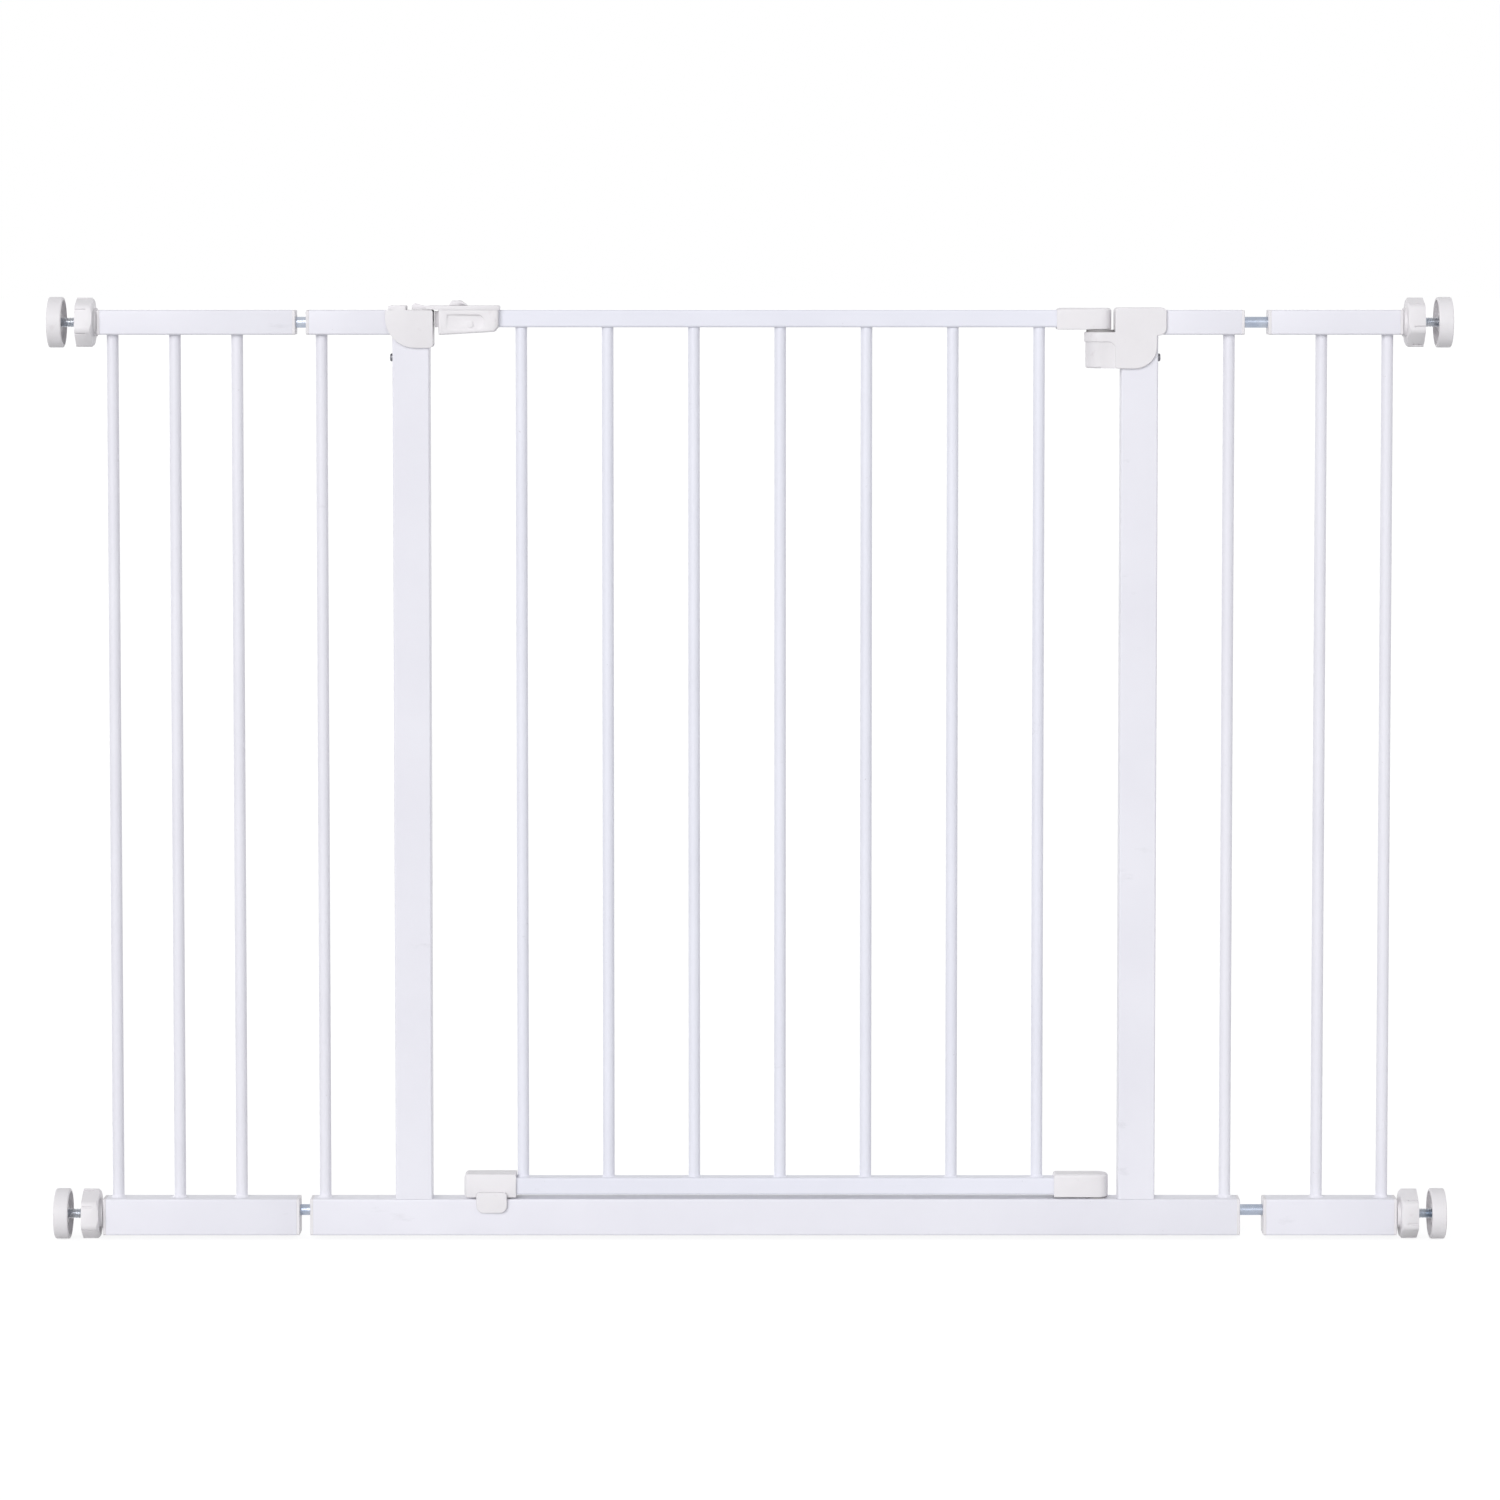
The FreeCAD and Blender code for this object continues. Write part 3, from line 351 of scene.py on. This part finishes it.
def weld_ring(bm, x, z, radius, up, spread, height, seed):
    """A bead of weld under the paint where a round bar meets a rail."""
    rng = random.Random(seed)
    phases = [rng.uniform(0, math.tau) for _ in WELD_RIPPLE]
    rings = []
    for out, rise in WELD_FORM:
        ring = []
        for k in range(WELD_STEPS):
            angle = math.tau * k / WELD_STEPS
            wobble = 1
            for (waves, size), phase in zip(WELD_RIPPLE, phases):
                wobble += size * math.sin(waves * angle + phase)
            reach = radius - WELD_EDGE_DEPTH + spread * out * wobble
            tall = height * rise * (1 - HEIGHT_RIPPLE + HEIGHT_RIPPLE * wobble)
            point = (x + reach * math.cos(angle), reach * math.sin(angle), z + up * tall)
            ring.append(bm.verts.new(point))
        rings.append(ring)
    inner = ring_about_z(bm, x, z + up * height, radius - WELD_ROOT_DEPTH)
    foot = ring_about_z(bm, x, z, radius - WELD_ROOT_DEPTH)
    skin(bm, rings + [inner, foot, rings[0]])


def weld_beads(name, node, count, lower_spread, upper_spread):
    """Beads at both ends of a node's evenly spaced bars."""
    low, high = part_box(node)
    radius = (high.y - low.y) / 2
    first, last = low.x + radius, high.x - radius
    step = (last - first) / (count - 1) if count > 1 else 0.0
    bm = bmesh.new()
    for i in range(count):
        x = first + i * step
        lower_seed, upper_seed = LOWER_SEED_STEP * i + len(name), UPPER_SEED_STEP * i + len(name)
        weld_ring(bm, x, low.z, radius, 1, lower_spread, lower_spread * WELD_RISE, lower_seed)
        weld_ring(bm, x, high.z, radius, -1, upper_spread, upper_spread, upper_seed)
    add_piece(name, mesh_from(bm, name, WELD_SHARP), node)


# ---------------------------------------------------------------- threaded rods
PITCH = 1.25 * MM
THREAD_STEPS = 30  # facets in one turn
THREAD_DEPTH = 0.62  # crest to root, in pitches
THREAD_START = 0.25  # plain end before the first turn, in pitches
RUN_OUT = 1.2  # turns over which the thread rises to its full depth, and falls again
# One pitch of the thread: (place along the rod in pitches, height from root 0 to crest 1).
THREAD_FORM = [(0.0, 0), (0.10, 0), (0.42, 1), (0.58, 1), (0.90, 0)]
CORE_END = 1.6  # length of the plain core at each end, in pitches
CORE_PROUD = 0.02 * MM  # how far that core stands out of the thread's root
CHAMFER = 0.35 * MM


def ring_about_x(bm, x, y, z, radius):
    angles = [math.tau * i / THREAD_STEPS for i in range(THREAD_STEPS)]
    return [bm.verts.new((x, y + radius * math.cos(a), z + radius * math.sin(a))) for a in angles]


def threaded_rod(node):
    """Rolled thread as a true helix, with chamfered ends."""
    low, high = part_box(node)
    crest = (high.z - low.z) / 2
    root = crest - THREAD_DEPTH * PITCH
    y, z = (low.y + high.y) / 2, (low.z + high.z) / 2
    start = low.x + THREAD_START * PITCH
    turns = int((high.x - low.x) / PITCH) - 1
    total, run_out = turns * THREAD_STEPS, RUN_OUT * THREAD_STEPS
    bm = bmesh.new()
    columns = []
    for k in range(total + 1):
        angle = math.tau * k / THREAD_STEPS
        advance = start + PITCH * k / THREAD_STEPS
        fade = min(1.0, k / run_out, (total - k) / run_out)
        column = []
        for along, rise in THREAD_FORM:
            radius = root + (crest - root) * rise * fade
            point = (advance + along * PITCH, y + radius * math.cos(angle), z + radius * math.sin(angle))
            column.append(bm.verts.new(point))
        columns.append(column)
    for k in range(total):
        a, b = columns[k], columns[k + 1]
        for i in range(len(THREAD_FORM) - 1):
            bm.faces.new((a[i], a[i + 1], b[i + 1], b[i]))
        if k + THREAD_STEPS < total:
            c, d = columns[k + THREAD_STEPS], columns[k + THREAD_STEPS + 1]
            bm.faces.new((a[-1], c[0], d[0], b[-1]))
    core, tip = root + CORE_PROUD, root - CHAMFER
    left, right = low.x + CORE_END * PITCH, high.x - CORE_END * PITCH
    for stations in (
        ((low.x, tip), (low.x + CHAMFER, core), (left - CHAMFER, core), (left, core)),
        ((right, core), (right + CHAMFER, core), (high.x - CHAMFER, core), (high.x, tip)),
    ):
        rings = [ring_about_x(bm, x, y, z, radius) for x, radius in stations]
        skin(bm, rings)
        bm.faces.new(list(reversed(rings[0])))
        bm.faces.new(rings[-1])
    add_piece(node + "_threaded", mesh_from(bm, node + "_thread", THREAD_SHARP), node, [node])


# ---------------------------------------------------------------- the gate's pieces
for name, obj in NODES.items():
    dress(obj, look_of(name))
    shade_smooth(obj.data, CAD_SHARP)

for corner in ("upper_left", "lower_left", "upper_right", "lower_right"):
    threaded_rod(corner + "_screw_rod")
    softened(corner + "_hand_nut", 0.4 * MM, 2)
    softened(corner + "_wall_foot", 0.35 * MM, 2)

# Each node's (edge radius in millimetres, facets across it).
SOFT_EDGES = {
    "frame_end_plugs": (0.45, 2),
    "left_panel_plugs": (0.45, 2),
    "right_panel_plugs": (0.45, 2),
    "frame_bottom_rail": (0.35, 2),
    "left_top_rail": (0.35, 2),
    "left_panel_top_rail": (0.35, 2),
    "left_panel_bottom_rail": (0.35, 2),
    "right_top_rail": (0.35, 2),
    "right_panel_top_rail": (0.35, 2),
    "right_panel_bottom_rail": (0.35, 2),
    "latch_keeper": (0.5, 3),
    "hinge_housing": (0.8, 3),
    "upper_hinge_cap": (0.3, 2),
    "lower_hinge_cap": (0.3, 2),
    "lower_latch_cap": (0.3, 2),
    "stop_clip": (0.25, 2),
    "handle_front_shell": (0.35, 3),
    "handle_rear_shell": (0.35, 3),
    "handle_cover": (0.4, 3),
    "latch_button": (0.3, 2),
    "latch_hook": (0.4, 3),
}
for node, (radius_mm, segments) in SOFT_EDGES.items():
    softened(node, radius_mm * MM, segments)

# (Lower, upper) spread of the beads: the frame's and the panels' are heavier than the door's.
HEAVY = 2.4 * MM, 0.9 * MM
LIGHT = 1.5 * MM, 0.7 * MM
weld_beads("left_panel_welds", "left_panel_bars", 3, *HEAVY)
weld_beads("right_panel_welds", "right_panel_bars", 2, *HEAVY)
weld_beads("left_bar_welds", "left_frame_bar", 1, *HEAVY)
weld_beads("right_bar_welds", "right_frame_bar", 1, *HEAVY)
weld_beads("door_bar_welds", "door_bars", 7, *LIGHT)


# ---------------------------------------------------------------- floor and room
FLOOR_RADIUS, FLOOR_STEPS = 60.0, 96
FLOOR_DROP = 0.0002  # metres from the gate's lowest point down to the floor
FLOOR_BOUNCE, FLOOR_SEEN = 0.64, 0.30  # grey that lights the gate, and grey that the camera sees
FLOOR_GLOW = 0.83
ROOM_COLOUR, ROOM_STRENGTH = (0.97, 0.98, 1.0, 1), 0.43
WHITE = (1, 1, 1, 1)


def seen_rays(tree):
    """1 for rays that show a surface in the picture, 0 for those that only carry light."""
    path = tree.nodes.new("ShaderNodeLightPath")
    value = path.outputs["Is Camera Ray"]
    for kind in ("Is Glossy Ray", "Is Transmission Ray"):
        either = tree.nodes.new("ShaderNodeMath")
        either.operation = "MAXIMUM"
        tree.links.new(value, either.inputs[0])
        tree.links.new(path.outputs[kind], either.inputs[1])
        value = either.outputs[0]
    return value


def floor_material():
    """Pale studio floor: seen as white by the camera, yet it still takes shadows."""
    mat, tree, out = new_material("studio_floor")
    seen = seen_rays(tree)
    diffuse = tree.nodes.new("ShaderNodeBsdfDiffuse")
    tone = ramp(tree, seen, (0.0, grey(FLOOR_BOUNCE)), (1.0, grey(FLOOR_SEEN)))
    tree.links.new(tone, diffuse.inputs["Color"])
    glow = tree.nodes.new("ShaderNodeEmission")
    strength = tree.nodes.new("ShaderNodeMath")
    strength.operation = "MULTIPLY"
    strength.inputs[1].default_value = FLOOR_GLOW
    tree.links.new(seen, strength.inputs[0])
    tree.links.new(strength.outputs[0], glow.inputs["Strength"])
    both = tree.nodes.new("ShaderNodeAddShader")
    tree.links.new(diffuse.outputs[0], both.inputs[0])
    tree.links.new(glow.outputs[0], both.inputs[1])
    tree.links.new(both.outputs[0], out.inputs["Surface"])
    return mat


def background(tree, colour, strength):
    node = tree.nodes.new("ShaderNodeBackground")
    node.inputs["Color"].default_value = colour
    node.inputs["Strength"].default_value = strength
    return node.outputs[0]


def studio_world():
    """White behind the gate, and a dimmer room that lights it."""
    world = bpy.data.worlds.new("studio")
    bpy.context.scene.world = world
    world.use_nodes = True
    tree = world.node_tree
    tree.nodes.clear()
    surface = tree.nodes.new("ShaderNodeOutputWorld")
    mix = tree.nodes.new("ShaderNodeMixShader")
    tree.links.new(seen_rays(tree), mix.inputs[0])
    tree.links.new(background(tree, ROOM_COLOUR, ROOM_STRENGTH), mix.inputs[1])
    tree.links.new(background(tree, WHITE, 1.0), mix.inputs[2])
    tree.links.new(mix.outputs[0], surface.inputs["Surface"])


bm = bmesh.new()
bmesh.ops.create_circle(bm, cap_ends=True, segments=FLOOR_STEPS, radius=FLOOR_RADIUS)
floor_mesh = bpy.data.meshes.new("studio_floor")
bm.to_mesh(floor_mesh)
bm.free()
floor = bpy.data.objects.new("studio_floor", floor_mesh)
floor.location = (0, 0, cad_box[0].z - FLOOR_DROP)
place(floor)
dress(floor, floor_material())
studio_world()


# ---------------------------------------------------------------- lamps and camera
def far_softbox(name, azimuth, elevation, strength, spread, colour):
    """A big distant softbox, which lights the whole floor alike. Azimuth 0 is the front."""
    lamp = bpy.data.lights.new(name, "SUN")
    lamp.energy = strength
    lamp.angle = math.radians(spread)
    lamp.color = colour
    obj = bpy.data.objects.new(name, lamp)
    a, e = math.radians(azimuth), math.radians(elevation)
    source = Vector((math.sin(a) * math.cos(e), -math.cos(a) * math.cos(e), math.sin(e)))
    obj.rotation_euler = source.to_track_quat("Z", "Y").to_euler()
    place(obj)


far_softbox("key", -24, 17, 1.84, 40, (1.0, 0.995, 1.0))
far_softbox("fill", 35, 12, 0.50, 50, (0.98, 0.99, 1.0))
far_softbox("rear_right", 118, 15, 0.62, 50, (1.0, 1.0, 1.0))
far_softbox("rear_left", -128, 15, 0.62, 50, (1.0, 1.0, 1.0))

DISTANCE = 4.0  # metres in front of the gate
EYE = 0.82  # height of the camera
AIM = 0.5975  # height at which its axis meets the gate
SHIFT = -0.16  # lens shift in picture widths, in place of most of the tilt: uprights stay upright
camera = bpy.data.cameras.new("camera")
camera.sensor_width = 36.0
camera.lens = 118.3
camera.shift_y = SHIFT
camera.clip_end = 200.0
eye = bpy.data.objects.new("camera", camera)
eye.location = (0.0, -DISTANCE, EYE)
eye.rotation_euler = (math.pi / 2 - math.atan((EYE - AIM) / DISTANCE), 0, 0)
place(eye)
bpy.context.scene.camera = eye
bpy.context.scene.view_settings.view_transform = "Standard"
